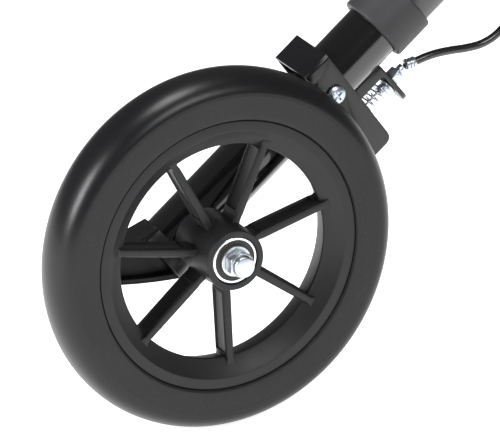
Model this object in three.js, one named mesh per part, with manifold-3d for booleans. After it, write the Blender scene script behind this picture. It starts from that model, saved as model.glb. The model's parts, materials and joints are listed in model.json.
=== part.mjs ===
// Rear wheel and brake leg of a knee scooter: a spoked wheel on a bolted axle beside a slanting
// leg tube, with a tip pedal at the tube's foot and a cable brake that pivots on the tube.
// Millimetres, +X forward, +Y inboard, +Z up. The origin is the middle of the leg's upper end.
import * as THREE from "three";
import { mergeVertices } from "three/addons/utils/BufferGeometryUtils.js";
import Module from "manifold-3d";

const wasm = await Module();
wasm.setup();

// Driving dimensions
const GAP = 0.3; // clearance between pieces that touch
const LEG_ANGLE = THREE.MathUtils.degToRad(39.5); // the leg's rise above the ground
const LEG_OFFSET = 36.3; // from the wheel's middle plane to the leg's middle plane
const LEG_END = 252.8; // from the axle to the leg's upper end, along the leg

const TYRE_R = 100;
const TYRE_HALF_W = 16.5;
const SIDEWALL_R = 89.7; // where the flat sidewall turns into the tread
const RIM_R = 75.25; // line between rim and tyre
const RIM_HALF_W = 14.8;
const RIM_RIB_R = 79.2; // rib that locks the tyre on the rim
const RIM_RIB_HALF_W = 7.5;
const RIM_FACE_R = 69; // inner edge of the rim's flat face
const RIM_BARREL_R = 60; // inner edge of the rim's cone
const RIM_BARREL_HALF_W = 7;
const RIM_INBOARD_R = 64; // the barrel opens out to this at its inboard end

const SPOKES = 7;
const FIRST_SPOKE = THREE.MathUtils.degToRad(15.9);
const SPOKE_WEB_T = 2.4;
const SPOKE_FLANGE_W = [4.8, 3.6]; // at the hub and at the rim
const SPOKE_FLANGE_T = 2.4;

const HUB_R = 16.6;
const HUB_OUT = -23; // outboard face of the hub
const HUB_IN = 16; // inboard face of the hub

const BEARING_R = 13;
const BEARING_BORE_R = 5;
const BEARING_W = 8;
const OUTER_BEARING_Y = HUB_OUT + 0.8; // outboard face of the outer bearing
const INNER_BEARING_Y = HUB_IN - 0.5 - BEARING_W; // outboard face of the inner bearing
const OUTER_RACE_R = 11.2; // inside of the outer race
const INNER_RACE_R = 6.9; // outside of the inner race
const BALLS = 7;
const BALL_R = 2.1;
const BALL_CIRCLE_R = (OUTER_RACE_R + INNER_RACE_R) / 2;

const AXLE_R = 3.85;
const AXLE_NUT_FLATS = 13;

const LEG_R = 16;
const LEG_WALL = 1.8;
const UPPER_R = 17;
const UPPER_WALL = 2.7;
const LEG_FOOT = -20; // lower end of the leg tube, past the axle
const TUBE_JOINT = 156; // where the lower and the upper tube meet
const COLLAR_FROM = 144.5;
const COLLAR_TO = 168.3;
const COLLAR_R = 19.7;
const GRUB_AT = 161;

const PIVOT_AT = 104; // brake pivot, along the leg from the axle
const ARM_SHEET = 2;
const ARM_HALF_W = 18.4; // outside of the brake arm's side plates
const ARM_BACK = 21.4; // outside of the arm's web, behind the tube's middle
const ARM_TAIL = 45; // end of the arm, in front of the tube's middle
const ARM_TOP = 114.8;
const ARM_DEPTH = 16.8;
const ARM_SLOPE = Math.tan(THREE.MathUtils.degToRad(3.3));

const CABLE_OUT = 30.4; // the cable's line, in front of the tube's middle
const BRACKET_FOOT = 111; // lower end of the cable bracket, along the leg
const TAB_AT = 131; // underside of the cable bracket's tab, along the leg
const TAB_T = 2.6;
const SPRING_R = 4.3;
const SPRING_WIRE_R = 0.5;
const SPRING_TURNS = 6;
const SPRING_FOOT = 109;
const SPRING_TOP = 128.2;
const HOUSING_R = 2.25;
const GROMMET_AT = 226; // where the cable enters the upper tube, along the leg

const finishes = {
  tyre: { color: 0x3c3c3c, roughness: 0.45, metalness: 0 },
  rimPlastic: { color: 0x3a3a3a, roughness: 0.55, metalness: 0 },
  blackPaint: { color: 0x0c0c0e, roughness: 0.18, metalness: 0 },
  satinPaint: { color: 0x2a2a2b, roughness: 0.5, metalness: 0 },
  greyPlastic: { color: 0x474747, roughness: 0.6, metalness: 0 },
  greyPaint: { color: 0x5c5c5c, roughness: 0.45, metalness: 0 },
  zinc: { color: 0xc9d0d6, roughness: 0.25, metalness: 1 },
  bearingSteel: { color: 0xe2e4e6, roughness: 0.15, metalness: 1 },
  sealRubber: { color: 0x38332f, roughness: 0.7, metalness: 0 },
  blackRubber: { color: 0x161616, roughness: 0.8, metalness: 0 },
  housing: { color: 0x0a0a0a, roughness: 0.2, metalness: 0 },
  nylon: { color: 0xd8d4c8, roughness: 0.6, metalness: 0 },
};
const materials = {};
for (const [name, finish] of Object.entries(finishes)) {
  materials[name] = new THREE.MeshStandardMaterial(finish);
}

// Solids from closed geometries, so that they can be cut and joined

function solid(geometry) {
  const bare = geometry.index ? geometry.toNonIndexed() : geometry.clone();
  bare.deleteAttribute("normal");
  bare.deleteAttribute("uv");
  const merged = mergeVertices(bare, 1e-3);
  const vertProperties = merged.attributes.position.array;
  const triVerts = new Uint32Array(merged.index.array);
  const made = new wasm.Manifold(new wasm.Mesh({ numProp: 3, vertProperties, triVerts }));
  if (made.volume() > 0) return made;
  // The profile ran the other way round, so the faces are turned outwards.
  for (let i = 0; i < triVerts.length; i += 3) triVerts.subarray(i, i + 3).reverse();
  return new wasm.Manifold(new wasm.Mesh({ numProp: 3, vertProperties, triVerts }));
}

function geometryOf(made) {
  const mesh = made.getMesh();
  const geometry = new THREE.BufferGeometry();
  geometry.setAttribute("position", new THREE.BufferAttribute(mesh.vertProperties, 3));
  geometry.setIndex(new THREE.BufferAttribute(mesh.triVerts, 1));
  return geometry;
}

const join = (...parts) => geometryOf(parts.map(solid).reduce((all, next) => all.add(next)));
const cut = (base, ...tools) =>
  geometryOf(tools.map(solid).reduce((rest, tool) => rest.subtract(tool), solid(base)));
const common = (a, b) => geometryOf(solid(a).intersect(solid(b)));
const outward = (geometry) => geometryOf(solid(geometry));

// Shapes: turned pieces have their axis along Y, from one height to another

function turned(profile, sides = 24) {
  const points = profile.map(([r, y]) => new THREE.Vector2(r, y));
  return outward(new THREE.LatheGeometry(points, sides));
}

const rod = (r, from, to, sides = 20) => turned([[0, from], [r, from], [r, to], [0, to]], sides);
const ring = (r, inner, from, to, sides = 24) =>
  turned([[inner, from], [r, from], [r, to], [inner, to], [inner, from]], sides);
const hexagon = (flats, from, to) => rod(flats / Math.sqrt(3), from, to, 6);

// An outline in the XZ plane, as thick as its width along Y.
function slab(shape, width) {
  const made = new THREE.ExtrudeGeometry(shape, { depth: width, bevelEnabled: false, curveSegments: 8 });
  return made.translate(0, 0, -width / 2).rotateX(Math.PI / 2);
}

function outline(points) {
  return new THREE.Shape(points.map(([x, z]) => new THREE.Vector2(x, z)));
}

function box(x, y, z) {
  const made = new THREE.BoxGeometry(x[1] - x[0], y[1] - y[0], z[1] - z[0]);
  return made.translate((x[0] + x[1]) / 2, (y[0] + y[1]) / 2, (z[0] + z[1]) / 2);
}

const alongLeg = (geometry) => geometry.rotateZ(-Math.PI / 2); // turns a turned piece's axis to X
const acrossLeg = (geometry) => geometry.rotateX(-Math.PI / 2); // turns its axis to the front, -Z

function coil(radius, wire, from, to, turns) {
  class Helix extends THREE.Curve {
    getPoint(t) {
      const angle = 2 * Math.PI * turns * t;
      return new THREE.Vector3(from + (to - from) * t, radius * Math.cos(angle), radius * Math.sin(angle));
    }
  }
  return tube(new Helix(), wire, turns * 10, 6);
}

function tube(path, radius, steps, sides) {
  const section = new THREE.Shape();
  for (let i = 0; i < sides; i++) {
    const angle = (2 * Math.PI * i) / sides;
    const point = [radius * Math.cos(angle), radius * Math.sin(angle)];
    if (i) section.lineTo(...point);
    else section.moveTo(...point);
  }
  return outward(new THREE.ExtrudeGeometry(section, { steps, extrudePath: path, bevelEnabled: false }));
}

// Groups: the scooter corner hangs from the leg's upper end; the wheel group has its origin at
// the wheel's middle on the axle, and the leg group has X along the leg and -Z to its front.

const corner = new THREE.Group();
const wheel = new THREE.Group();
const leg = new THREE.Group();
wheel.position.set(-LEG_END * Math.cos(LEG_ANGLE), -LEG_OFFSET, -LEG_END * Math.sin(LEG_ANGLE));
leg.position.set(wheel.position.x, 0, wheel.position.z);
leg.rotation.y = -LEG_ANGLE;
corner.add(wheel, leg);

function add(group, name, geometry, material) {
  const mesh = new THREE.Mesh(geometry, materials[material]);
  mesh.name = name;
  group.add(mesh);
}

// Wheel

function makeTyre() {
  const treadSteps = 10;
  const tread = [];
  for (let i = 0; i <= treadSteps; i++) {
    const angle = (Math.PI * i) / treadSteps - Math.PI / 2;
    const r = SIDEWALL_R + (TYRE_R - SIDEWALL_R) * Math.cos(angle);
    tread.push([r, TYRE_HALF_W * Math.sin(angle)]);
  }
  const bead = RIM_R + GAP;
  const rib = RIM_RIB_R + GAP;
  const ribEdge = RIM_RIB_HALF_W + GAP;
  const profile = [
    [bead, -RIM_HALF_W],
    [bead + 1.5, -TYRE_HALF_W + 0.3],
    ...tread,
    [bead + 1.5, TYRE_HALF_W - 0.3],
    [bead, RIM_HALF_W],
    [bead, ribEdge + 1.5],
    [rib, ribEdge],
    [rib, -ribEdge],
    [bead, -ribEdge - 1.5],
    [bead, -RIM_HALF_W],
  ];
  return turned(profile, 56);
}

// One spoke along +X: a thin web with a flange along its outboard and its inboard edge.
function makeSpoke() {
  const root = HUB_R - 3;
  const tip = RIM_INBOARD_R + 0.5;
  const outEdge = [-15, -10.5];
  const inEdge = [6.5, 4];
  const strip = (a, b, width) =>
    new THREE.ExtrudeGeometry(
      outline([[root, a[0]], [tip, a[1]], [tip, b[1]], [root, b[0]]]),
      { depth: width, bevelEnabled: false },
    ).translate(0, 0, -width / 2);
  const [wide, narrow] = SPOKE_FLANGE_W;
  const taper = slab(
    outline([[root, -wide / 2], [tip, -narrow / 2], [tip, narrow / 2], [root, wide / 2]]),
    60,
  );
  const t = SPOKE_FLANGE_T;
  return join(
    strip(outEdge, inEdge, SPOKE_WEB_T),
    common(strip(outEdge, outEdge.map((y) => y + t), wide), taper),
    common(strip(inEdge.map((y) => y - t), inEdge, wide), taper),
  );
}

function makeRim() {
  const band = turned([
    [RIM_R, -RIM_HALF_W],
    [RIM_R, -RIM_RIB_HALF_W - 1.5],
    [RIM_RIB_R, -RIM_RIB_HALF_W],
    [RIM_RIB_R, RIM_RIB_HALF_W],
    [RIM_R, RIM_RIB_HALF_W + 1.5],
    [RIM_R, RIM_HALF_W],
    [RIM_FACE_R, RIM_HALF_W],
    [RIM_INBOARD_R, RIM_BARREL_HALF_W],
    [RIM_BARREL_R, -RIM_BARREL_HALF_W],
    [RIM_FACE_R, -RIM_HALF_W],
    [RIM_R, -RIM_HALF_W],
  ], 56);
  const seat = BEARING_R + GAP;
  const hub = turned([
    [seat, HUB_OUT],
    [HUB_R - 0.8, HUB_OUT],
    [HUB_R, HUB_OUT + 0.8],
    [HUB_R, HUB_IN - 0.8],
    [HUB_R - 0.8, HUB_IN],
    [seat, HUB_IN],
    [seat, INNER_BEARING_Y - GAP],
    [seat - 3, INNER_BEARING_Y - GAP],
    [seat - 3, OUTER_BEARING_Y + BEARING_W + GAP],
    [seat, OUTER_BEARING_Y + BEARING_W + GAP],
    [seat, HUB_OUT],
  ], 28);
  const spokes = [];
  for (let k = 0; k < SPOKES; k++) {
    // Turning by a negative angle about +Y lifts +X towards +Z.
    spokes.push(makeSpoke().rotateY(-FIRST_SPOKE - (2 * Math.PI * k) / SPOKES));
  }
  const shaft = rod(seat - 1, HUB_OUT - 1, HUB_IN + 1, 28);
  return join(cut(join(hub, ...spokes), shaft.clone().scale(0.75, 1, 0.75)), band);
}

add(wheel, "tyre", makeTyre(), "tyre");
add(wheel, "spoked_rim", makeRim(), "rimPlastic");

// Bearings: each has two races, a cage with its balls, and a seal on each side

function makeCage(middle) {
  const balls = [];
  for (let i = 0; i < BALLS; i++) {
    const ball = new THREE.OctahedronGeometry(BALL_R, 1);
    balls.push(ball.translate(BALL_CIRCLE_R, middle, 0).rotateY((2 * Math.PI * i) / BALLS));
  }
  return join(ring(BALL_CIRCLE_R + 0.6, BALL_CIRCLE_R - 0.6, middle - 1.2, middle + 1.2, 14), ...balls);
}

const groove = (r, towards, from) => {
  const mid = from + BEARING_W / 2;
  return [[r, mid - 2.4], [r + towards, mid - 1.2], [r + towards, mid + 1.2], [r, mid + 2.4]];
};

function addBearing(place, from) {
  const to = from + BEARING_W;
  const outer = [[BEARING_R, from], [BEARING_R, to], [OUTER_RACE_R, to]];
  outer.push(...groove(OUTER_RACE_R, 0.6, from).reverse(), [OUTER_RACE_R, from], [BEARING_R, from]);
  const inner = [[BEARING_BORE_R, from], [INNER_RACE_R, from], ...groove(INNER_RACE_R, -0.6, from)];
  inner.push([INNER_RACE_R, to], [BEARING_BORE_R, to], [BEARING_BORE_R, from]);
  const sealIn = INNER_RACE_R + GAP;
  const sealOut = OUTER_RACE_R - GAP;
  add(wheel, place + "_bearing_outer_race", turned(outer), "bearingSteel");
  add(wheel, place + "_bearing_inner_race", turned(inner), "bearingSteel");
  add(wheel, place + "_bearing_cage", makeCage(from + BEARING_W / 2), "bearingSteel");
  add(wheel, place + "_bearing_outboard_seal", ring(sealOut, sealIn, from + 0.4, from + 1.2), "sealRubber");
  add(wheel, place + "_bearing_inboard_seal", ring(sealOut, sealIn, to - 1.2, to - 0.4), "sealRubber");
}

addBearing("outer", OUTER_BEARING_Y);
addBearing("inner", INNER_BEARING_Y);

// Axle: a low-headed bolt from the inboard side of the leg, with a cap nut outboard of the wheel

const sleeveBore = AXLE_R + GAP;
const washerFace = OUTER_BEARING_Y - GAP;
const nutFace = washerFace - 1.6 - GAP;
const saddle = LEG_OFFSET - LEG_R; // where the axle meets the leg tube's near side
const boltSide = LEG_OFFSET + LEG_R + 1; // flat face of the inboard saddle
const boltFace = boltSide + GAP;

function makeCapNut() {
  const base = nutFace;
  const hex = common(
    hexagon(AXLE_NUT_FLATS, base - 6.4, base),
    turned([[0, base], [6.9, base], [7.6, base - 0.8], [7.6, base - 5.4], [6.6, base - 6.4], [0, base - 6.4]]),
  );
  const cap = turned([[0, base - 6.2], [6, base - 6.2], [6, base - 8.9], [5.7, base - 9.6], [5, base - 9.9],
    [0, base - 10]]);
  return cut(join(hex, cap), rod(AXLE_R + GAP, base - 8.6, base + 1));
}

// A washer with one flat side and one that fits the leg tube.
function makeSaddle(radius, flat, round) {
  const tubeSpace = alongLeg(rod(LEG_R + GAP, -30, 30, 36)).translate(0, LEG_OFFSET, 0);
  return cut(ring(radius, sleeveBore, flat, round, 28), tubeSpace.rotateY(-LEG_ANGLE));
}

add(wheel, "axle_cap_nut", makeCapNut(), "zinc");
add(wheel, "axle_nut_washer", ring(8.5, sleeveBore, washerFace - 1.6, washerFace), "zinc");
const bearingsFrom = OUTER_BEARING_Y;
const bearingsTo = INNER_BEARING_Y + BEARING_W;
add(wheel, "axle_sleeve", ring(BEARING_BORE_R - GAP, sleeveBore, bearingsFrom, bearingsTo, 24), "zinc");
const spacerFrom = OUTER_BEARING_Y + BEARING_W + GAP;
add(wheel, "bearing_spacer", ring(7.6, BEARING_BORE_R, spacerFrom, INNER_BEARING_Y - GAP, 24), "zinc");
add(wheel, "hub_spacer", ring(7.4, sleeveBore, bearingsTo + GAP, saddle - 1.8, 24), "zinc");
add(wheel, "axle_saddle_outboard", makeSaddle(10, saddle - 1.5, saddle + 4.5), "satinPaint");
add(wheel, "axle_saddle_inboard", makeSaddle(7.6, boltSide - 4, boltSide), "satinPaint");
// Half the length of a sleeve of this radius that fits across the inside of the leg tube.
const crushHalf = (r) => Math.sqrt((LEG_R - LEG_WALL) ** 2 - r ** 2) - GAP;
const axleCrush = crushHalf(7);
const crushSleeve = ring(7, sleeveBore, LEG_OFFSET - axleCrush, LEG_OFFSET + axleCrush, 24);
add(wheel, "axle_crush_sleeve", crushSleeve, "zinc");
const boltHead = turned([[0, boltFace], [7.2, boltFace], [6.9, boltFace + 1], [5.2, boltFace + 2],
  [3, boltFace + 2.3], [0, boltFace + 2.3]]);
const axleBolt = cut(
  join(rod(AXLE_R, nutFace - 8, boltFace + 0.2), boltHead),
  hexagon(5, boltFace + 0.8, boltFace + 3),
);
add(wheel, "axle_bolt", axleBolt, "zinc");

// Leg: lower tube, collar, upper tube, inner sleeve and end plug

function makeLowerTube() {
  const body = alongLeg(ring(LEG_R, LEG_R - LEG_WALL, LEG_FOOT, TUBE_JOINT - GAP, 36));
  const axleHole = rod(AXLE_R + GAP, -20, 20);
  const pivotHole = rod(3.3, -20, 20).translate(PIVOT_AT, 0, 0);
  return cut(body, axleHole, pivotHole, ...rivetPlaces.map((at) => rivetHole(at)));
}

const rivetPlaces = [116, 125];
const rivetHole = (at) => acrossLeg(rod(1.9, LEG_R - 4, LEG_R + 8, 12)).translate(at, 0, 0);

function makeCollar() {
  const body = turned([
    [LEG_R + GAP, COLLAR_FROM],
    [COLLAR_R - 1.6, COLLAR_FROM],
    [COLLAR_R, COLLAR_FROM + 1.6],
    [COLLAR_R, COLLAR_TO - 1.6],
    [COLLAR_R - 1.6, COLLAR_TO],
    [UPPER_R + GAP, COLLAR_TO],
    [UPPER_R + GAP, TUBE_JOINT],
    [LEG_R + GAP, TUBE_JOINT],
    [LEG_R + GAP, COLLAR_FROM],
  ], 36);
  return cut(alongLeg(body), rod(2.3, UPPER_R - 4, COLLAR_R + 1, 16).translate(GRUB_AT, 0, 0));
}

const upperBore = UPPER_R - UPPER_WALL;
const upperEnd = LEG_END - 2.8;

function makeUpperTube() {
  const body = alongLeg(ring(UPPER_R, upperBore, TUBE_JOINT, upperEnd, 36));
  return cut(body, acrossLeg(rod(4.5, 8, UPPER_R + 4, 20)).translate(GROMMET_AT, 0, 0));
}

function makeEndPlug() {
  return alongLeg(turned([
    [0, upperEnd - 14],
    [upperBore - 1, upperEnd - 14],
    [upperBore - GAP, upperEnd - 13],
    [upperBore - GAP, upperEnd + GAP],
    [UPPER_R, upperEnd + GAP],
    [UPPER_R, LEG_END],
    [0, LEG_END],
  ], 36));
}

add(leg, "lower_leg_tube", makeLowerTube(), "blackPaint");
add(leg, "leg_collar", makeCollar(), "greyPlastic");
add(leg, "collar_grub_screw", rod(2, UPPER_R + GAP, COLLAR_R, 16).translate(GRUB_AT, 0, 0), "zinc");
add(leg, "upper_tube", makeUpperTube(), "greyPaint");
add(leg, "leg_joint_sleeve", alongLeg(ring(LEG_R - LEG_WALL - GAP, 11.6, 130, 190, 28)), "greyPlastic");
add(leg, "frame_end_plug", makeEndPlug(), "blackRubber");

// Tip pedal: a socket on the foot of the leg tube and a ribbed foot plate towards the rear

const pedalWidth = 17;
const pedalWeb = 5;
const socketR = LEG_R + 1.6;
const socketFrom = -23;
const socketTo = -13.5;
const pedalScrewOn = -17.5; // along the leg from the axle

function pedalShape(inset) {
  const shape = new THREE.Shape();
  shape.moveTo(-8 - inset, -26.5 + inset);
  const rear = -72 + 3 * inset;
  shape.quadraticCurveTo(-38, -26.5 + inset, rear, -19 + 0.3 * inset);
  shape.lineTo(rear, -14);
  shape.lineTo(-33.5, -1.1 - inset);
  shape.lineTo(-20 - inset, 4 - inset);
  return shape;
}

function makePedal() {
  const plate = cut(
    slab(pedalShape(0), pedalWidth),
    slab(pedalShape(3), 20).translate(0, (pedalWeb + 20) / 2, 0),
    slab(pedalShape(3), 20).translate(0, -(pedalWeb + 20) / 2, 0),
  );
  const onLeg = (made) => alongLeg(made).rotateY(-LEG_ANGLE);
  const socket = onLeg(rod(socketR, socketFrom, socketTo, 36));
  const tubeSpace = onLeg(rod(LEG_R + GAP, LEG_FOOT - GAP, 40, 36));
  const screwSpace = rod(2.1, 10, 20, 12).rotateY(-LEG_ANGLE).translate(...pedalScrewAt);
  return cut(join(plate, socket), tubeSpace, screwSpace);
}

const pedalScrewAt = [pedalScrewOn * Math.cos(LEG_ANGLE), 0, pedalScrewOn * Math.sin(LEG_ANGLE)];
const pedalScrew = join(rod(1.7, LEG_R + GAP, socketR + 0.6, 12), rod(3.4, socketR + GAP, socketR + 2, 20));
add(wheel, "tip_pedal", makePedal().translate(0, LEG_OFFSET, 0), "greyPlastic");
pedalScrew.translate(pedalScrewAt[0], LEG_OFFSET, pedalScrewAt[2]);
add(wheel, "pedal_screw", pedalScrew, "zinc");

// Brake arm: a sheet stirrup round the tube, with a bridge in its tail that the cable pulls

const armInside = ARM_HALF_W - ARM_SHEET;
const bridgeTop = 108;
const bridgeFrom = CABLE_OUT - 7;
const bridgeTo = CABLE_OUT + 6;
const earFoot = 91.5; // lower end of the outboard plate's ear, which carries the brake shoe

function armSide() {
  const drop = (front) => ARM_SLOPE * (front + ARM_BACK);
  const corner = 5;
  const shape = new THREE.Shape();
  const top = (front) => ARM_TOP - drop(front);
  shape.moveTo(ARM_TOP, ARM_BACK);
  shape.lineTo(ARM_TOP - ARM_DEPTH, ARM_BACK);
  shape.lineTo(top(ARM_TAIL) - ARM_DEPTH, -ARM_TAIL);
  shape.lineTo(top(ARM_TAIL) - corner, -ARM_TAIL);
  shape.quadraticCurveTo(top(ARM_TAIL), -ARM_TAIL, top(ARM_TAIL - corner), -(ARM_TAIL - corner));
  return shape;
}

function stirrupShape() {
  const bend = 2.4;
  const shape = new THREE.Shape();
  shape.moveTo(-ARM_HALF_W, -ARM_TAIL - 1);
  shape.lineTo(-ARM_HALF_W, ARM_BACK - bend);
  shape.quadraticCurveTo(-ARM_HALF_W, ARM_BACK, -ARM_HALF_W + bend, ARM_BACK);
  shape.lineTo(ARM_HALF_W - bend, ARM_BACK);
  shape.quadraticCurveTo(ARM_HALF_W, ARM_BACK, ARM_HALF_W, ARM_BACK - bend);
  shape.lineTo(ARM_HALF_W, -ARM_TAIL - 1);
  shape.lineTo(armInside, -ARM_TAIL - 1);
  shape.lineTo(armInside, ARM_BACK - ARM_SHEET - 1);
  shape.lineTo(armInside - 1, ARM_BACK - ARM_SHEET);
  shape.lineTo(-armInside + 1, ARM_BACK - ARM_SHEET);
  shape.lineTo(-armInside, ARM_BACK - ARM_SHEET - 1);
  shape.lineTo(-armInside, -ARM_TAIL - 1);
  return shape;
}

function makeBrakeArm() {
  const height = 60;
  const settings = { depth: height, bevelEnabled: false, curveSegments: 4 };
  const stirrup = new THREE.ExtrudeGeometry(stirrupShape(), settings);
  // The stirrup's outline runs across the leg (Y) and front to back (Z); it is as high as X.
  const turn = new THREE.Matrix4().makeBasis(
    new THREE.Vector3(0, 1, 0),
    new THREE.Vector3(0, 0, 1),
    new THREE.Vector3(1, 0, 0),
  );
  stirrup.applyMatrix4(turn).translate(PIVOT_AT - height / 2, 0, 0);
  const sides = common(stirrup, slab(armSide(), 60));
  const bridge = cut(
    box([bridgeTop - ARM_SHEET, bridgeTop], [-armInside - 0.5, armInside + 0.5], [-bridgeTo, -bridgeFrom]),
    alongLeg(rod(2, 90, 120, 16)).translate(0, 0, -CABLE_OUT),
  );
  const ear = box([earFoot, ARM_TOP - ARM_DEPTH + 2], [-ARM_HALF_W, -armInside], [4, 16]);
  const pivotHole = rod(4.2, -30, 30).translate(PIVOT_AT, 0, 0);
  const shoeHole = rod(1.8, -30, 0, 12).translate(shoeRivetAt[0], 0, shoeRivetAt[1]);
  return cut(join(sides, bridge, ear), pivotHole, shoeHole);
}

// Brake shoe: a rubber wedge on the outboard plate's ear, over the tyre's inboard shoulder
const shoeGap = 1.25;
const shoeLength = 13;
const shoeAngle = THREE.MathUtils.degToRad(7.4); // behind the leg's line, round the axle
const shoeRivetR = 97.6;
const shoeRivetAt = [shoeRivetR * Math.cos(shoeAngle), shoeRivetR * Math.sin(shoeAngle)];
const shoeRivetFrom = 15.4; // outboard end of the rivet, from the wheel's middle
const plateFace = LEG_OFFSET - ARM_HALF_W; // outboard face of the arm's near plate, from the wheel's middle

function makeShoe() {
  const face = plateFace - GAP;
  const inner = 11.9;
  const touch = 14.2; // where the shoe's flat underside meets the tyre, from the wheel's middle
  const treadR = SIDEWALL_R + (TYRE_R - SIDEWALL_R) * Math.sqrt(1 - (touch / TYRE_HALF_W) ** 2);
  const lean = 1.19;
  const underside = (y) => treadR + shoeGap * Math.hypot(1, lean) - lean * (y - touch);
  const section = outline([[underside(face), face], [99.9, face], [99.9, inner], [underside(inner), inner]]);
  const block = new THREE.ExtrudeGeometry(section, { depth: shoeLength, bevelEnabled: false });
  block.translate(0, -LEG_OFFSET, -shoeLength / 2).rotateY(-shoeAngle);
  const hole = rod(1.8, shoeRivetFrom - GAP - LEG_OFFSET, 0, 12);
  return cut(block, hole.translate(shoeRivetAt[0], 0, shoeRivetAt[1]));
}

add(leg, "brake_arm", makeBrakeArm(), "satinPaint");
add(leg, "brake_shoe", makeShoe(), "blackRubber");
const shoeRivet = join(
  rod(1.5, shoeRivetFrom - LEG_OFFSET, -armInside + 0.6, 12),
  rod(2.6, -armInside + GAP, -armInside + 1.4, 16),
);
add(leg, "shoe_rivet", shoeRivet.translate(shoeRivetAt[0], 0, shoeRivetAt[1]), "zinc");

// Brake pivot: a pan-head screw across the tube, with bushes in the arm and a nut inboard

function makePivotScrew() {
  const face = -ARM_HALF_W - GAP;
  const head = turned([[0, face], [5.4, face], [5.3, face - 0.9], [4.2, face - 1.8], [2.4, face - 2.3],
    [0, face - 2.4]], 24);
  const slot = (x, z) => box([-x, x], [face - 3, face - 0.9], [-z, z]);
  const crossed = cut(head, slot(3, 0.6), slot(0.6, 3));
  return join(crossed, rod(2.85, face - 0.5, ARM_HALF_W + 5));
}

const pivotBush = (from, to) => ring(3.9, 3.15, from, to, 20).translate(PIVOT_AT, 0, 0);
add(leg, "brake_pivot_screw", makePivotScrew().translate(PIVOT_AT, 0, 0), "zinc");
add(leg, "pivot_bush_outboard", pivotBush(-ARM_HALF_W, -armInside + 0.2), "nylon");
add(leg, "pivot_bush_inboard", pivotBush(armInside - 0.2, ARM_HALF_W), "nylon");
const pivotSleeve = ring(5, 3.15, -crushHalf(5), crushHalf(5), 24).translate(PIVOT_AT, 0, 0);
add(leg, "pivot_crush_sleeve", pivotSleeve, "zinc");
const pivotNut = cut(hexagon(10, ARM_HALF_W + GAP, ARM_HALF_W + 4.6), rod(3.15, 0, 30));
add(leg, "brake_pivot_nut", pivotNut.translate(PIVOT_AT, 0, 0), "zinc");

// Cable end: bracket on the tube, adjuster through its tab, spring, wire, ferrule and housing

const onCable = (geometry) => alongLeg(geometry).translate(0, 0, -CABLE_OUT);
const screwClear = 3.05;
const bracketFace = LEG_R + 4.6;

function makeBracket() {
  const foot = cut(
    box([BRACKET_FOOT, TAB_AT + TAB_T], [-8, 8], [-bracketFace, -LEG_R + 3]),
    alongLeg(rod(LEG_R + GAP, 100, 140, 36)),
  );
  const halfWidth = 8;
  const tabEnd = CABLE_OUT + 13.4;
  const shape = new THREE.Shape();
  shape.moveTo(bracketFace - 1, -halfWidth);
  shape.lineTo(tabEnd - halfWidth, -halfWidth);
  shape.absarc(tabEnd - halfWidth, 0, halfWidth, -Math.PI / 2, Math.PI / 2, false);
  shape.lineTo(bracketFace - 1, halfWidth);
  const tab = new THREE.ExtrudeGeometry(shape, { depth: TAB_T, bevelEnabled: false, curveSegments: 10 });
  // The tab's outline runs to the front (-Z) and across (Y), and its thickness lies along X.
  const turn = new THREE.Matrix4().makeBasis(
    new THREE.Vector3(0, 0, -1),
    new THREE.Vector3(0, 1, 0),
    new THREE.Vector3(1, 0, 0),
  );
  tab.applyMatrix4(turn).translate(TAB_AT, 0, 0);
  return cut(join(foot, tab), onCable(rod(screwClear, 120, 150)), ...rivetPlaces.map((at) => rivetHole(at)));
}

add(leg, "cable_bracket", makeBracket(), "satinPaint");
for (const [i, at] of rivetPlaces.entries()) {
  const shank = rod(1.6, LEG_R - 3, bracketFace + 1, 12);
  const rivet = join(shank, rod(3, bracketFace + GAP, bracketFace + 1.6, 16));
  add(leg, "bracket_rivet_" + (i + 1), acrossLeg(rivet).translate(at, 0, 0), "satinPaint");
}

const seatTop = TAB_AT - GAP;
add(leg, "spring_seat_washer", onCable(ring(6.5, screwClear, seatTop - 1.4, seatTop, 28)), "zinc");
const spring = coil(SPRING_R, SPRING_WIRE_R, SPRING_FOOT, SPRING_TOP, SPRING_TURNS);
add(leg, "return_spring", spring.translate(0, 0, -CABLE_OUT), "zinc");
const nutFrom = TAB_AT + TAB_T + GAP;
const nutTo = nutFrom + 5.6;
const lockNut = cut(hexagon(8.6, nutFrom, nutTo), rod(screwClear, 100, 160));
add(leg, "adjuster_lock_nut", onCable(lockNut), "zinc");
const adjusterFrom = 124.5;
const adjusterEnd = 143.2;
const adjuster = turned([
  [1.2, adjusterFrom],
  [2.2, adjusterFrom],
  [2.75, adjusterFrom + 0.5],
  [2.75, nutTo + 0.6],
  [2.4, nutTo + 1],
  [2.3, adjusterEnd],
  [1.2, adjusterEnd],
  [1.2, adjusterFrom],
], 20);
add(leg, "cable_adjuster", onCable(adjuster), "zinc");

// The ferrule's nose rocks in the adjuster's end, so the slack housing leans it to the front.
const FERRULE_LEAN = THREE.MathUtils.degToRad(30);
const FERRULE_LENGTH = 6.6;
const ferruleAt = adjusterEnd + 1.15;
const ferrule = turned([
  [1.2, 0],
  [1.6, 0],
  [3, 1.6],
  [3.1, 2.2],
  [2.8, 2.6],
  [2.8, 3.6],
  [3.1, 4],
  [3.1, FERRULE_LENGTH],
  [HOUSING_R + GAP, FERRULE_LENGTH],
  [HOUSING_R + GAP, 1.5],
  [1.2, 1.5],
  [1.2, 0],
], 20);
alongLeg(ferrule).rotateY(FERRULE_LEAN).translate(ferruleAt, 0, -CABLE_OUT);
add(leg, "cable_ferrule", ferrule, "zinc");
const wireFoot = 101;
add(leg, "brake_wire", onCable(rod(0.8, wireFoot, adjusterEnd - 1.7, 10)), "zinc");
const anchorTop = bridgeTop - ARM_SHEET - GAP;
add(leg, "wire_anchor", onCable(ring(3.5, 1.1, anchorTop - 5.5, anchorTop, 20)), "zinc");

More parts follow.
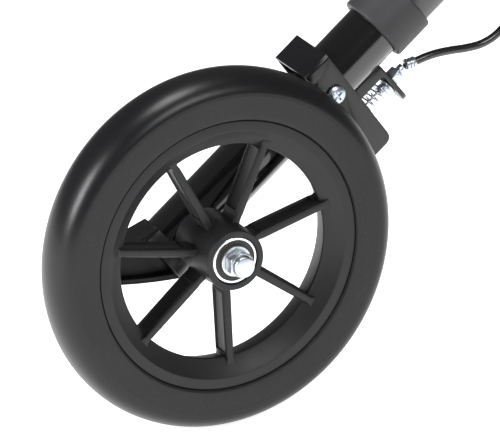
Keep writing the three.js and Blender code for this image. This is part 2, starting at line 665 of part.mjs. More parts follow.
// The cable housing's route, in the leg's middle plane, from the ferrule to the grommet
const intoFerrule = (depth) => {
  const onLeg = new THREE.Vector3(Math.cos(FERRULE_LEAN), 0, -Math.sin(FERRULE_LEAN)).multiplyScalar(depth);
  onLeg.add(new THREE.Vector3(ferruleAt, 0, -CABLE_OUT));
  return onLeg.applyAxisAngle(new THREE.Vector3(0, 1, 0), -LEG_ANGLE).add(leg.position);
};
const looseRoute = [
  [-50.9, -89.7], [-44.8, -88.9], [-35.8, -88.9], [-26.4, -89.6], [-15.8, -88.3], [-6.3, -83], [0.8, -74.7],
  [4.4, -64.6], [4.4, -54.1], [0.9, -44.3], [-1.7, -40.2], [-4.8, -36.4], [-8, -32.5], [-11.8, -27.9],
];
const housingPath = new THREE.CatmullRomCurve3([
  ...[1.8, 4.2, 6.6].map(intoFerrule),
  ...looseRoute.map(([x, z]) => new THREE.Vector3(x, 0, z)),
]);
add(corner, "cable_housing", tube(housingPath, HOUSING_R, 32, 8), "housing");

function makeGrommet() {
  const lip = cut(
    acrossLeg(turned([[0, UPPER_R - 2], [7, UPPER_R - 2], [6.6, UPPER_R + 1.4], [4, UPPER_R + 4.5],
      [0, UPPER_R + 4.5]], 24)),
    alongLeg(rod(UPPER_R + GAP, -20, 20, 36)),
  );
  const neck = acrossLeg(rod(4.2, upperBore - 1.5, UPPER_R + 1.5, 24));
  const bore = acrossLeg(rod(HOUSING_R + GAP, 0, 40, 16));
  return cut(join(lip, neck), bore).translate(GROMMET_AT, 0, 0);
}

add(leg, "cable_grommet", makeGrommet(), "blackRubber");

export default corner;
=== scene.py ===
"""Rear wheel and brake leg of a knee scooter: pieces, finishes, studio and camera."""

import json
import math

import bpy
from mathutils import Matrix, Vector


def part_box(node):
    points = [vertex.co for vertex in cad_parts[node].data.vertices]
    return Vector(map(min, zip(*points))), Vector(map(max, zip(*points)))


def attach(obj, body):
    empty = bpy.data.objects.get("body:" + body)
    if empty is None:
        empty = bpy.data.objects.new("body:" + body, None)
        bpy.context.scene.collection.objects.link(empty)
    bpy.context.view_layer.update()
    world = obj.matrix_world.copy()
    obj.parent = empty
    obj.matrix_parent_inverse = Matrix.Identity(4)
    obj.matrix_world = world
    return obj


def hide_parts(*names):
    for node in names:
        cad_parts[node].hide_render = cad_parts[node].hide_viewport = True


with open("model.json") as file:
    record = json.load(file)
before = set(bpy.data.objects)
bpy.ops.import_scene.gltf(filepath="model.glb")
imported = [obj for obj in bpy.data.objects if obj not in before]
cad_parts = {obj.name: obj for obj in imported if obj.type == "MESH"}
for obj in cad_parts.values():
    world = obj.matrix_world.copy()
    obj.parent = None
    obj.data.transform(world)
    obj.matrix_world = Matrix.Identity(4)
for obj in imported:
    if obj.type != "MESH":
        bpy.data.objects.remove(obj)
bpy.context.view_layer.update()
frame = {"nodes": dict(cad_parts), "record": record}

MM = 0.001
TURN = 2 * math.pi

# Sizes and places, worked out from the frame
LEG_UP = Vector(frame["record"]["mounts"][0]["axis"]).normalized()  # along the leg, away from the wheel
INBOARD = Vector((0, 1, 0))
FRONT = INBOARD.cross(LEG_UP)  # square to the leg, towards the front


def middle(node):
    low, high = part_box(node)
    return (Vector(low) + Vector(high)) / 2


def size(node):
    low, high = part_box(node)
    return Vector(high) - Vector(low)


AXLE = middle("tyre")
TYRE_R = size("tyre").x / 2
TYRE_HALF_W = size("tyre").y / 2
SIDEWALL_R = TYRE_R - 10.3 * MM
RIM_R = TYRE_R - 24.75 * MM
RIM_HALF_W = 14.8 * MM
FIRST_SPOKE = math.radians(15.9)
SPOKES = 7
HUB_OUT = AXLE.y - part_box("spoked_rim")[0][1]  # from the wheel's middle to the hub's outboard face
HUB_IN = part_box("spoked_rim")[1][1] - AXLE.y  # and to its inboard face
LEG_END = math.hypot(AXLE.x, AXLE.z)  # from the axle to the leg's upper end
LEG_R = size("lower_leg_tube").y / 2
UPPER_R = size("upper_tube").y / 2
COLLAR_R = size("leg_collar").y / 2
CABLE_OUT = 30.4 * MM  # from the leg's axis to the cable's
FERRULE_LEAN = math.radians(30)

# Stations along the leg, in mm from the axle
LEG_FOOT = -20
TUBE_JOINT = 156
UPPER_TUBE_END = 250
COLLAR_FOOT, COLLAR_TOP = 144.5, 168.3
SPRING_FOOT, SPRING_TOP = 109, 128.2
ADJUSTER_FOOT, ADJUSTER_TOP = 124.5, 143.6
FERRULE_FOOT = 144.35

BEARING_WIDTH = 8


def on_leg(along, front=0.0, inboard=0.0):
    """A point so far up the leg from the axle, in front of its axis, and inboard of it."""
    return LEG_UP * (along - LEG_END) + FRONT * front + INBOARD * inboard


# Modelling, by hand steps


def deselect():
    if bpy.context.object and bpy.context.object.mode != "OBJECT":
        bpy.ops.object.mode_set(mode="OBJECT")
    bpy.ops.object.select_all(action="DESELECT")


def take(piece):
    deselect()
    piece.select_set(True)
    bpy.context.view_layer.objects.active = piece


def settle(name):
    """Names the piece in hand and puts its place into its mesh."""
    bpy.ops.object.mode_set(mode="OBJECT")
    piece = bpy.context.object
    piece.name = piece.data.name = name
    bpy.ops.object.transform_apply(location=True, rotation=True, scale=True)
    return piece


def modify(piece, kind, **settings):
    """Adds a modifier and applies it."""
    take(piece)
    modifier = piece.modifiers.new(kind.title(), kind)
    for key, value in settings.items():
        setattr(modifier, key, value)
    bpy.ops.object.modifier_apply(modifier=modifier.name)


def smooth(piece, angle):
    take(piece)
    bpy.ops.object.shade_smooth_by_angle(angle=math.radians(angle))


def bevel(piece, width, segments, angle):
    modify(piece, "BEVEL", width=width, segments=segments, limit_method="ANGLE",
           angle_limit=math.radians(angle), harden_normals=False)


def turned(name, profile, axis, origin, steps, angle=35):
    """A piece turned on a lathe: profile is (radius, height) along axis from origin."""
    axis = axis.normalized()
    across = axis.orthogonal().normalized()
    places = [origin + across * r + axis * h for r, h in profile]
    deselect()
    bpy.ops.mesh.primitive_plane_add(size=MM, location=places[0])
    bpy.ops.object.mode_set(mode="EDIT")
    bpy.ops.mesh.select_mode(type="VERT")
    bpy.ops.mesh.merge(type="CENTER")
    for before, after in zip(places, places[1:]):
        bpy.ops.mesh.extrude_region_move(TRANSFORM_OT_translate={"value": after - before})
    if (places[0] - places[-1]).length > 1e-6:
        bpy.ops.mesh.extrude_region_move(TRANSFORM_OT_translate={"value": places[0] - places[-1]})
    bpy.ops.mesh.select_all(action="SELECT")
    bpy.ops.mesh.remove_doubles(threshold=1e-6)
    bpy.ops.mesh.spin(steps=steps, angle=TURN, center=origin, axis=axis)
    bpy.ops.mesh.select_all(action="SELECT")
    bpy.ops.mesh.remove_doubles(threshold=2e-6)
    bpy.ops.mesh.normals_make_consistent(inside=False)
    piece = settle(name)
    smooth(piece, angle)
    return piece


def arc(centre, radius, start, stop, steps):
    """Points of a round stretch of a profile; radius may be (across, along); angles in degrees."""
    wide, high = radius if isinstance(radius, tuple) else (radius, radius)
    points = []
    for i in range(steps + 1):
        angle = math.radians(start + (stop - start) * i / steps)
        points.append((centre[0] + wide * math.cos(angle), centre[1] + high * math.sin(angle)))
    return points


def in_mm(points):
    return [(r * MM, h * MM) for r, h in points]


def refined(node, width, angle=30):
    """A copy of a CAD node with its corners rounded, to stand for it."""
    source = frame["nodes"][node]
    piece = bpy.data.objects.new(node + "_fine", source.data.copy())
    bpy.context.scene.collection.objects.link(piece)
    piece.data.materials.clear()
    take(piece)
    bpy.ops.object.mode_set(mode="EDIT")
    bpy.ops.mesh.select_all(action="SELECT")
    bpy.ops.mesh.remove_doubles(threshold=1e-5)
    bpy.ops.mesh.dissolve_limited(angle_limit=math.radians(1))
    bpy.ops.object.mode_set(mode="OBJECT")
    bevel(piece, width, 2, angle)
    smooth(piece, 40)
    return piece


# Finishes


class Value:
    """A socket that Python's operators can work with: each one adds a Math node."""

    def __init__(self, finish, socket):
        self.finish, self.socket = finish, socket

    def math(self, operation, *others):
        node = self.finish.node("ShaderNodeMath", {"operation": operation}, [self, *others])
        return Value(self.finish, node.outputs[0])

    def __add__(self, other):
        return self.math("ADD", other)

    def __sub__(self, other):
        return self.math("SUBTRACT", other)

    def __rsub__(self, other):
        return self.finish.number(other).math("SUBTRACT", self)

    def __mul__(self, other):
        return self.math("MULTIPLY", other)

    __radd__ = __add__
    __rmul__ = __mul__

    def ramp(self, low, high):
        """0 below low, 1 above high, and smooth between."""
        node = self.finish.node("ShaderNodeMapRange", {"interpolation_type": "SMOOTHSTEP"},
                                {"Value": self, "From Min": low, "From Max": high})
        return Value(self.finish, node.outputs[0])


class Finish:
    """A material of one Principled shader, with the nodes that vary it."""

    def __init__(self, name, **constants):
        self.material = bpy.data.materials.new(name)
        self.material.use_nodes = True
        self.tree = self.material.node_tree
        self.shader = self.tree.nodes["Principled BSDF"]
        for key, value in constants.items():
            self.shader.inputs[key.replace("_", " ").title().replace("Ior", "IOR")].default_value = value
        self.place = self.node("ShaderNodeTexCoord").outputs["Object"]

    def node(self, kind, settings=None, inputs=None):
        """Adds a node with its settings, then the values or links of its sockets."""
        made = self.tree.nodes.new(kind)
        for key, value in (settings or {}).items():
            setattr(made, key, value)
        pairs = enumerate(inputs) if isinstance(inputs, list) else (inputs or {}).items()
        for key, value in pairs:
            if isinstance(value, Value):
                self.tree.links.new(value.socket, made.inputs[key])
            elif isinstance(value, bpy.types.NodeSocket):
                self.tree.links.new(value, made.inputs[key])
            else:
                made.inputs[key].default_value = value
        return made

    def number(self, value):
        node = self.node("ShaderNodeMath", {"operation": "ADD"}, [value, 0.0])
        return Value(self, node.outputs[0])

    def noise(self, scale, detail=2.0, rough=0.5):
        node = self.node("ShaderNodeTexNoise", None,
                         {"Vector": self.place, "Scale": scale, "Detail": detail, "Roughness": rough})
        return Value(self, node.outputs["Fac"])

    def cells(self, scale):
        node = self.node("ShaderNodeTexVoronoi", None, {"Vector": self.place, "Scale": scale})
        return Value(self, node.outputs["Distance"])

    def from_line(self, origin, direction):
        """Distance from a line."""
        away = self.node("ShaderNodeVectorMath", {"operation": "SUBTRACT"}, [self.place, tuple(origin)])
        along = self.node("ShaderNodeVectorMath", {"operation": "DOT_PRODUCT"},
                          [away.outputs[0], tuple(direction)])
        far = self.node("ShaderNodeVectorMath", {"operation": "LENGTH"}, [away.outputs[0]])
        along = Value(self, along.outputs["Value"])
        far = Value(self, far.outputs["Value"])
        squared = (far * far - along * along).math("MAXIMUM", 0.0)
        return squared.math("SQRT")

    def mix(self, factor, low, high):
        node = self.node("ShaderNodeMix", {"data_type": "RGBA"}, {"Factor": factor})
        for socket, colour in ((node.inputs[6], low), (node.inputs[7], high)):
            if isinstance(colour, bpy.types.NodeSocket):
                self.tree.links.new(colour, socket)
            else:
                socket.default_value = (*colour, 1)
        return node.outputs[2]

    def colour(self, socket):
        self.tree.links.new(socket, self.shader.inputs["Base Color"])

    def roughness(self, value):
        self.tree.links.new(value.socket, self.shader.inputs["Roughness"])

    def bump(self, height, distance, strength=1.0, before=None):
        inputs = {"Height": height, "Distance": distance, "Strength": strength}
        if before:
            inputs["Normal"] = before
        node = self.node("ShaderNodeBump", None, inputs)
        self.tree.links.new(node.outputs[0], self.shader.inputs["Normal"])
        return node.outputs[0]


def tyre_rubber():
    """Grey matt sidewalls, a polished black tread and a fine moulding grain."""
    f = Finish("tyre_rubber", specular_ior_level=0.34)
    radius = f.from_line(AXLE, INBOARD)
    tread = radius.ramp(SIDEWALL_R - 0.3 * MM, SIDEWALL_R + 1.6 * MM)
    cloud = f.noise(18, 4, 0.6)
    speck = f.noise(900, 2)
    sidewall = f.mix(cloud.ramp(0.3, 0.7), (0.009, 0.009, 0.01), (0.014, 0.014, 0.015))
    sidewall = f.mix(speck.ramp(0.55, 0.75) * 0.25, sidewall, (0.045, 0.045, 0.047))
    crown = f.mix(cloud, (0.005, 0.005, 0.006), (0.009, 0.009, 0.01))
    f.colour(f.mix(tread, sidewall, crown))
    f.roughness(0.46 + 0.1 * cloud - tread * (0.24 - 0.1 * speck))
    grain = f.bump(f.noise(1600, 3), 0.06 * MM, 0.5)
    f.bump(f.noise(260, 2), 0.12 * MM, 0.25, grain)
    return f.material


def moulded(name, colour, rough, grain=0.08, scale=1500):
    """Fine-grained moulded plastic, a little polished on its open faces."""
    f = Finish(name, specular_ior_level=0.32)
    cloud = f.noise(25, 4, 0.6)
    spread = 0.12
    dark = tuple(c * (1 - spread) for c in colour)
    light = tuple(c * (1 + spread) for c in colour)
    f.colour(f.mix(cloud.ramp(0.3, 0.7), dark, light))
    f.roughness(rough + 0.12 * (f.noise(60, 3) - 0.5))
    texture = f.bump(f.cells(scale), grain * MM, 0.45)
    f.bump(f.noise(120, 2), 0.1 * MM, 0.12, texture)
    return f.material


def painted(name, colour, rough, coat, peel=0.12, metallic=0.0):
    """Powder coat with a slight orange peel, under a clear skin where coat is above 0."""
    f = Finish(name, specular_ior_level=0.5, coat_weight=coat, coat_roughness=0.06, metallic=metallic)
    cloud = f.noise(40, 3)
    flake = f.noise(2600, 1)
    light = tuple(c * 1.3 + 0.002 for c in colour)
    f.colour(f.mix(flake.ramp(0.45, 0.75) * 0.5 + cloud * 0.3, colour, light))
    f.roughness(rough + 0.08 * (cloud - 0.5))
    f.bump(f.noise(420, 2), 0.05 * MM, peel)
    return f.material


def zinc_plate(name, colour, rough):
    """Bright plate with fine darker specks and a faint blue cast in patches."""
    f = Finish(name, metallic=1.0)
    specks = f.noise(700, 3, 0.6)
    cloud = f.noise(90, 3)
    cool = tuple(c * k for c, k in zip(colour, (0.92, 0.97, 1.04)))
    tint = f.mix(cloud.ramp(0.35, 0.65), colour, cool)
    f.colour(f.mix(specks.ramp(0.62, 0.8) * 0.4, tint, tuple(c * 0.55 for c in colour)))
    f.roughness(rough + 0.18 * (specks - 0.4) + 0.1 * (cloud - 0.5))
    f.bump(specks, 0.02 * MM, 0.35)
    return f.material


def rubber(name, colour, rough):
    """Dull rubber with a fine grain."""
    f = Finish(name, specular_ior_level=0.4)
    cloud = f.noise(150, 3)
    f.colour(f.mix(cloud, tuple(c * 0.8 for c in colour), tuple(c * 1.25 for c in colour)))
    f.roughness(rough + 0.1 * (cloud - 0.5))
    f.bump(f.noise(1800, 3), 0.06 * MM, 0.5)
    return f.material


def sleeve_plastic():
    """The cable's glossy extruded housing."""
    f = Finish("sleeve_plastic", specular_ior_level=0.55, coat_weight=0.4, coat_roughness=0.08)
    cloud = f.noise(70, 3)
    f.colour(f.mix(cloud, (0.008, 0.008, 0.009), (0.016, 0.016, 0.017)))
    f.roughness(0.2 + 0.1 * cloud)
    f.bump(f.noise(500, 2), 0.03 * MM, 0.3)
    return f.material


FINISHES = {
    "tyre": tyre_rubber(),
    "rim_plastic": moulded("rim_plastic", (0.014, 0.014, 0.015), 0.42),
    "black_paint": painted("black_paint", (0.0025, 0.0025, 0.003), 0.14, 0.8, 0.06),
    "satin_paint": painted("satin_paint", (0.004, 0.004, 0.005), 0.26, 0.0, 0.12),
    # A darker copy of grey_plastic for the pedal: painted shade, not a different plastic.
    "pedal_plastic_painted_shade": moulded("pedal_plastic_painted_shade", (0.006, 0.006, 0.0065), 0.4, 0.05, 1100),
    "grey_plastic": moulded("grey_plastic", (0.04, 0.04, 0.042), 0.46, 0.05, 1100),
    "grey_paint": painted("grey_paint", (0.06, 0.06, 0.062), 0.38, 0.2, 0.12, 0.3),
    "zinc": zinc_plate("zinc", (0.62, 0.65, 0.68), 0.3),
    "bearing_steel": zinc_plate("bearing_steel", (0.86, 0.87, 0.88), 0.14),
    "seal_rubber": rubber("seal_rubber", (0.05, 0.044, 0.04), 0.55),
    "black_rubber": rubber("black_rubber", (0.02, 0.02, 0.02), 0.62),
    "housing_plastic": sleeve_plastic(),
    "nylon": moulded("nylon", (0.62, 0.6, 0.55), 0.45, 0.03),
}

# The pedal takes a darker copy of the collar's grey plastic: painted shade, for the shadow it sits in.
SHADE_PAINTED_FINISH = {"tip_pedal": "pedal_plastic_painted_shade"}

slot_of = {part["node"]: part["material_slot"] for part in frame["record"]["subparts"]}
bodies = frame["record"]["behaviour"]["bodies"]
body_of = {node: body for body, nodes in bodies.items() for node in nodes}


def place(piece, node):
    """The piece stands for the CAD node, and takes its body and its finish."""
    slot = slot_of[node]
    piece.data.materials.clear()
    piece.data.materials.append(FINISHES[SHADE_PAINTED_FINISH.get(node, slot)])
    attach(piece, body_of[node])
    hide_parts(node)
    return piece


# Camera and cord come first

CAMERA_FROM = math.radians(-26.8)
CAMERA_UP = math.radians(21.4)
CAMERA_AWAY = 5.0
CAMERA_LENS = 680
AIM_RIGHT, AIM_UP = 17.9, 14.1  # the camera looks this far past the axle, mm


def make_camera():
    back = Vector((math.sin(CAMERA_FROM) * math.cos(CAMERA_UP),
                   -math.cos(CAMERA_FROM) * math.cos(CAMERA_UP), math.sin(CAMERA_UP)))
    turn = (-back).to_track_quat("-Z", "Y")
    right, up = turn @ Vector((1, 0, 0)), turn @ Vector((0, 1, 0))
    target = AXLE + right * AIM_RIGHT * MM + up * AIM_UP * MM
    camera = bpy.data.cameras.new("camera")
    camera.lens = CAMERA_LENS
    camera.sensor_width = 36
    camera.clip_start, camera.clip_end = 0.5, 60
    holder = bpy.data.objects.new("camera", camera)
    bpy.context.scene.collection.objects.link(holder)
    holder.location = target + back * CAMERA_AWAY
    holder.rotation_mode = "QUATERNION"
    holder.rotation_quaternion = turn
    bpy.context.scene.camera = holder


HOUSING_D = 4.5 * MM
HOUSING_ROUTE = [  # (forward, up) in the leg's middle plane, mm
    (-62.6, -92.1), (-60.2, -91.8), (-57.8, -91.4), (-50.9, -89.8), (-44.8, -88.9), (-35.8, -88.6),
    (-26.4, -88.8), (-15.8, -87.6), (-6.3, -82.7), (0.8, -74.7), (4.4, -64.6), (4.4, -54.1),
    (0.9, -44.3), (-1.7, -40.2), (-4.8, -36.4), (-8.0, -32.5), (-11.8, -27.9),
]


def make_housing():
    curve = bpy.data.curves.new("brake_cable", "CURVE")
    curve.dimensions = "3D"
    curve.bevel_depth = HOUSING_D / 2
    curve.bevel_resolution = 6
    curve.resolution_u = 8
    curve.use_fill_caps = True
    line = curve.splines.new("BEZIER")
    line.bezier_points.add(len(HOUSING_ROUTE) - 1)
    for point, (x, z) in zip(line.bezier_points, HOUSING_ROUTE):
        point.co = (x * MM, 0, z * MM)
        point.handle_left_type = point.handle_right_type = "AUTO"
    piece = bpy.data.objects.new("brake_cable", curve)
    bpy.context.scene.collection.objects.link(piece)
    place(piece, "cable_housing")


make_camera()
make_housing()

# Wheel


def make_tyre():
    half = TYRE_HALF_W / MM
    side, crown, bead = SIDEWALL_R / MM, TYRE_R / MM, RIM_R / MM + 0.35
    profile = [(bead, -14.6), (bead + 0.3, -15.2), *arc((bead + 1.7, -15.2), (1.2, 0.9), 180, 270, 5)]
    profile += [(80, -half + 0.3), (88.6, -half), *arc((89.2, -half + 0.4), 0.4, 250, 300, 3)]
    tread = arc((side, 0), (crown - side, half), -85, 85, 60)
    profile += [(r, y) for r, y in tread if abs(y) > 0.55]
    # The parting line of the mould runs round the crown as a low ridge.
    split = next(i for i, (_, y) in enumerate(profile) if y > 0.5)
    profile[split:split] = [(crown - 0.05, -0.3), (crown, -0.15), (crown, 0.15), (crown - 0.05, 0.3)]
    profile += [(89.2, half), (80, half - 0.3), (bead + 1.7, half - 0.4), (bead, 14.6)]
    profile += [(bead, 9.3), (bead + 4, 7.9), (bead + 4, -7.9), (bead, -9.3)]
    return turned("tyre_fine", in_mm(profile), INBOARD, AXLE, 180, angle=28)


def make_rim_band():
    face = RIM_HALF_W / MM
    outer = RIM_R / MM
    corner = [(outer, 8.9), (outer, face - 0.5), *arc((outer - 0.5, face - 0.5), 0.5, 0, 90, 4)]
    corner += [(70.2, face), *arc((69.8, face - 0.8), 0.8, 90, 135, 3)]
    inboard = corner + [(65.0, 8.6), *arc((65.4, 7.2), 1.4, 130, 170, 3)]
    outboard = corner + [(61.2, 8.1), *arc((61.6, 6.7), 1.6, 130, 180, 4)]
    profile = inboard + [(r, -y) for r, y in reversed(outboard)] + [(79.2, -7.5), (79.2, 7.5)]
    return turned("rim_band", in_mm(profile), INBOARD, AXLE, 180, angle=28)


def make_hub():
    out, inn = -HUB_OUT / MM, HUB_IN / MM
    profile = [(13.2, out + 0.5), (13.7, out), (15.6, out), *arc((15.9, out + 0.7), 0.7, -90, -10, 5)]
    profile += [(16.6, -14), (17.2, -12), (17.2, 7), (16.6, 9)]
    profile += [*arc((15.9, inn - 0.7), 0.7, 10, 90, 5), (13.7, inn), (13.2, inn - 0.5)]
    profile += [(13.2, 7.2), (10.3, 7.2), (10.3, -13.9), (13.2, -13.9)]
    return turned("rim_hub", in_mm(profile), INBOARD, AXLE, 96, angle=28)


def pick_faces(piece, test):
    """Selects the faces that pass the test, in edit mode."""
    bpy.ops.object.mode_set(mode="OBJECT")
    for face in piece.data.polygons:
        face.select = test(face)
    bpy.ops.object.mode_set(mode="EDIT")


def make_spoke(angle, name):
    """An I-beam spoke: a tapered bar whose two sides are recessed, with rounded corners."""
    deselect()
    root, tip = 14.5 * MM, 64.5 * MM
    middle_y = -4.2 * MM
    web_from, web_to = root + 7 * MM, tip - 5 * MM
    bpy.ops.mesh.primitive_cube_add(size=1, location=((root + tip) / 2, middle_y, 0))
    piece = bpy.context.object
    bpy.ops.transform.resize(value=(tip - root, 21.6 * MM, 4.8 * MM))
    bpy.ops.object.transform_apply(location=True, rotation=True, scale=True)
    bpy.ops.object.mode_set(mode="EDIT")
    bpy.ops.mesh.select_mode(type="FACE")
    pick_faces(piece, lambda face: face.normal.x > 0.9)
    bpy.ops.transform.resize(value=(1, 0.66, 0.75), center_override=(tip, -2.2 * MM, 0))
    # Cuts near both ends leave room for the fillets into the hub and the rim.
    for cut in (root + 4.5 * MM, root + 7 * MM, tip - 4.5 * MM, tip - 3 * MM):
        bpy.ops.mesh.select_all(action="SELECT")
        bpy.ops.mesh.bisect(plane_co=(cut, 0, 0), plane_no=(1, 0, 0))
    pick_faces(piece, lambda face: abs(face.normal.z) > 0.9 and web_from < face.center.x < web_to)
    bpy.ops.mesh.inset(thickness=1.9 * MM, depth=0, use_individual=True)
    bpy.ops.mesh.extrude_region_shrink_fatten(TRANSFORM_OT_shrink_fatten={"value": -0.9 * MM})
    pick_faces(piece, lambda face: face.normal.x > 0.9)
    bpy.ops.transform.resize(value=(1, 1.0, 1.15), center_override=(tip, -3.5 * MM, 0))
    pick_faces(piece, lambda face: face.normal.x < -0.9)
    bpy.ops.transform.resize(value=(1, 1.04, 1.4), center_override=(root, middle_y, 0))
    bpy.ops.object.mode_set(mode="OBJECT")
    bevel(piece, 0.55 * MM, 3, 20)
    take(piece)
    bpy.ops.transform.rotate(value=angle, orient_axis="Y", center_override=(0, 0, 0))
    bpy.ops.transform.translate(value=AXLE)
    piece = settle(name)
    smooth(piece, 40)
    return piece


def make_rim():
    band = make_rim_band()
    place(band, "spoked_rim")
    hub = make_hub()
    place(hub, "spoked_rim")
    for k in range(SPOKES):
        spoke = make_spoke(FIRST_SPOKE + TURN * k / SPOKES, "rim_spoke_%d" % (k + 1))
        place(spoke, "spoked_rim")


def make_bearing(prefix, from_y):
    """Rounded races and a dished seal on each side."""
    width = BEARING_WIDTH
    outer = [(11.2, 0.4), (11.5, 0), (12.35, 0), *arc((12.35, 0.65), 0.65, -90, 0, 5)]
    outer += [*arc((12.35, width - 0.65), 0.65, 0, 90, 5), (11.5, width), (11.2, width - 0.4)]
    inner = [(6.9, 0.3), (6.6, 0), (5.4, 0), *arc((5.4, 0.4), 0.4, -90, -180, 4)]
    inner += [*arc((5.4, width - 0.4), 0.4, 180, 90, 4), (6.6, width), (6.9, width - 0.3)]
    start = AXLE + INBOARD * from_y
    for part, profile in (("outer_race", outer), ("inner_race", inner)):
        node = prefix + "_bearing_" + part
        place(turned(node + "_fine", in_mm(profile), INBOARD, start, 72), node)
    dish = [(7.25, 0.35), (7.9, 0.25), (8.3, 0.55), (10.1, 0.55), (10.5, 0.3), (11.0, 0.3)]
    back = [(11.0, 1.1), (7.25, 1.1)]
    node = prefix + "_bearing_outboard_seal"
    place(turned(node + "_fine", in_mm(dish + back), INBOARD, start, 72), node)
    far = start + INBOARD * width * MM
    node = prefix + "_bearing_inboard_seal"
    place(turned(node + "_fine", in_mm(dish + back), -INBOARD, far, 72), node)


def tube_profile(radius, bore, start, stop, e=0.4):
    """The wall of a tube whose four edges are cut back by e."""
    return [(bore, start + e), (bore + e, start), (radius - e, start), (radius, start + e),
            (radius, stop - e), (radius - e, stop), (bore + e, stop), (bore, stop - e)]


def washer(node, bore, radius):
    low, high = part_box(node)
    from_y, thick = low[1] - AXLE.y, (high[1] - low[1]) / MM
    profile = tube_profile(radius, bore, 0, thick, 0.25)
    place(turned(node + "_fine", in_mm(profile), INBOARD, AXLE + INBOARD * from_y, 56), node)


def make_wheel():
    place(make_tyre(), "tyre")
    make_rim()
    make_bearing("outer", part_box("outer_bearing_outer_race")[0][1] - AXLE.y)
    make_bearing("inner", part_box("inner_bearing_outer_race")[0][1] - AXLE.y)
    washer("axle_nut_washer", 4.2, 8.5)
    for node in ("axle_cap_nut", "axle_bolt"):
        place(refined(node, 0.25 * MM, 25), node)


# Leg


def leg_turned(node, profile, steps=96, front=0.0):
    origin = on_leg(0, front)
    return place(turned(node + "_fine", in_mm(profile), LEG_UP, origin, steps), node)


def make_leg():
    leg_turned("lower_leg_tube", tube_profile(LEG_R / MM, 14.2, LEG_FOOT, TUBE_JOINT - 0.3))
    leg_turned("upper_tube", tube_profile(UPPER_R / MM, 14.3, TUBE_JOINT, UPPER_TUBE_END))
    collar = [(16.3, 145.0), (16.8, COLLAR_FOOT), *arc((18.2, 146.0), 1.5, -90, 0, 6)]
    collar += [(COLLAR_R / MM, 148.5), (COLLAR_R / MM, 165.5), *arc((18.4, 167.0), 1.3, 0, 90, 6)]
    collar += [(17.7, COLLAR_TOP), (17.3, 167.9), (17.3, TUBE_JOINT), (16.3, TUBE_JOINT)]
    leg_turned("leg_collar", collar)
    plug = [(0, 236), (13, 236), (13.9, 237), (13.9, 250.3), (16.4, 250.3), (17, 250.8)]
    plug += [*arc((15.8, 251.6), 1.2, 0, 90, 6), (0, 252.8)]
    leg_turned("frame_end_plug", plug)


# How far the corners of each CAD shape are rounded, mm
ROUNDED = {
    "brake_arm": 0.45,
    "cable_bracket": 0.4,
    "tip_pedal": 0.6,
    "brake_pivot_screw": 0.12,
    "brake_pivot_nut": 0.3,
    "adjuster_lock_nut": 0.35,
    "cable_grommet": 0.3,
    "brake_shoe": 0.2,
    "pedal_screw": 0.2,
    "bracket_rivet_1": 0.5,
    "bracket_rivet_2": 0.5,
}


def make_brake():
    for node, width in ROUNDED.items():
        place(refined(node, width * MM), node)


def make_spring():
    """An open compression spring: a wire's section wound up along the leg."""
    deselect()
    mean, wire, turns = 4.3 * MM, 0.5 * MM, 6
    foot, top = SPRING_FOOT * MM, SPRING_TOP * MM
    bpy.ops.mesh.primitive_circle_add(vertices=12, radius=wire, location=(mean, 0, 0),
                                      rotation=(math.pi / 2, 0, 0), fill_type="NGON")
    piece = bpy.context.object
    bpy.ops.object.transform_apply(location=True, rotation=True, scale=True)
    modify(piece, "SCREW", axis="Z", angle=TURN, screw_offset=(top - foot) / turns,
           iterations=turns, steps=30, render_steps=30, use_merge_vertices=False)
    take(piece)
    bpy.ops.object.mode_set(mode="EDIT")
    bpy.ops.mesh.select_all(action="SELECT")
    bpy.ops.mesh.normals_make_consistent(inside=False)
    bpy.ops.object.mode_set(mode="OBJECT")
    lean = LEG_UP.to_track_quat("Z", "Y").to_matrix().to_4x4()
    piece.matrix_world = Matrix.Translation(on_leg(foot, CABLE_OUT)) @ lean
    piece = settle("return_spring_fine")
    smooth(piece, 60)
    return place(piece, "return_spring")


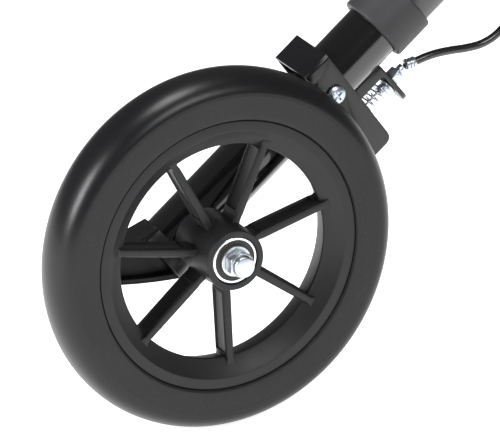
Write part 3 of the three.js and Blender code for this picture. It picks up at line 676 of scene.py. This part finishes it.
def make_cable_end():
    """The threaded adjuster, the ribbed ferrule that leans from it, and the spring's seat."""
    thread = [(1.2, ADJUSTER_FOOT), (2.2, ADJUSTER_FOOT)]
    for turn in range(16):
        start = 125 + turn
        thread += [(2.75, start), (2.75, start + 0.15), (2.3, start + 0.5), (2.3, start + 0.62)]
    thread += [(2.5, 141.2), (2.4, 141.5), (2.4, 143.3), (2.1, ADJUSTER_TOP), (1.2, ADJUSTER_TOP)]
    leg_turned("cable_adjuster", thread, 40, CABLE_OUT)
    ferrule = [(1.2, 0), (1.6, 0), (2.6, 0.5), (3.1, 1.2), (3.1, 2.2), (2.75, 2.5), (2.75, 3.0)]
    ferrule += [(3.1, 3.3), (3.1, 4.2), (2.75, 4.5), (2.75, 4.9), (3.1, 5.2), (3.1, 6.2), (2.95, 6.6)]
    ferrule += [(2.55, 6.6), (2.55, 1.5), (1.2, 1.5)]
    lean = LEG_UP * math.cos(FERRULE_LEAN) + FRONT * math.sin(FERRULE_LEAN)
    nose = on_leg(FERRULE_FOOT * MM, CABLE_OUT)
    place(turned("cable_ferrule_fine", in_mm(ferrule), lean, nose, 48), "cable_ferrule")
    seat = [(3.05, 129.5), (3.3, 129.3), (6.2, 129.3), (6.5, 129.6), (6.5, 130.4), (6.2, 130.7)]
    seat += [(3.3, 130.7), (3.05, 130.5)]
    leg_turned("spring_seat_washer", seat, 48, CABLE_OUT)


make_wheel()
make_leg()
make_brake()
make_spring()
make_cable_end()

# CAD nodes that stay in view take their finishes too.
for node, holder in frame["nodes"].items():
    holder.data.materials.clear()
    holder.data.materials.append(FINISHES[slot_of[node]])

# Studio

FLOOR_GLOW = 0.9
WORLD_GLOW = 0.14


def make_studio():
    """A glowing white floor under the tyre, and a faint white world."""
    floor_at = AXLE.z - TYRE_R
    deselect()
    bpy.ops.mesh.primitive_plane_add(size=8, location=(0, 0, floor_at))
    floor = bpy.context.object
    floor.name = "studio_floor"
    paint = Finish("studio_white", base_color=(0.95, 0.95, 0.95, 1), roughness=0.9,
                   emission_color=(1, 1, 1, 1), emission_strength=FLOOR_GLOW)
    floor.data.materials.append(paint.material)
    world = bpy.data.worlds.new("studio")
    bpy.context.scene.world = world
    world.use_nodes = True
    background = world.node_tree.nodes["Background"]
    background.inputs["Color"].default_value = (1, 1, 1, 1)
    background.inputs["Strength"].default_value = WORLD_GLOW
    bpy.context.scene.view_settings.view_transform = "Standard"


def soft_light(name, place_at, width, height, power):
    """A softbox that faces the wheel."""
    light = bpy.data.lights.new(name, "AREA")
    light.shape = "RECTANGLE"
    light.size, light.size_y = width, height
    light.energy = power
    holder = bpy.data.objects.new(name, light)
    bpy.context.scene.collection.objects.link(holder)
    holder.location = AXLE + Vector(place_at)
    holder.rotation_mode = "QUATERNION"
    holder.rotation_quaternion = (-Vector(place_at)).to_track_quat("-Z", "Y")


make_studio()
soft_light("left", (-1.45, -0.1, 0.64), 0.4, 0.7, 20)
soft_light("top", (-0.1, 0.15, 1.6), 0.5, 0.5, 12)
soft_light("front", (0.2, -1.35, 1.3), 0.8, 0.8, 14)
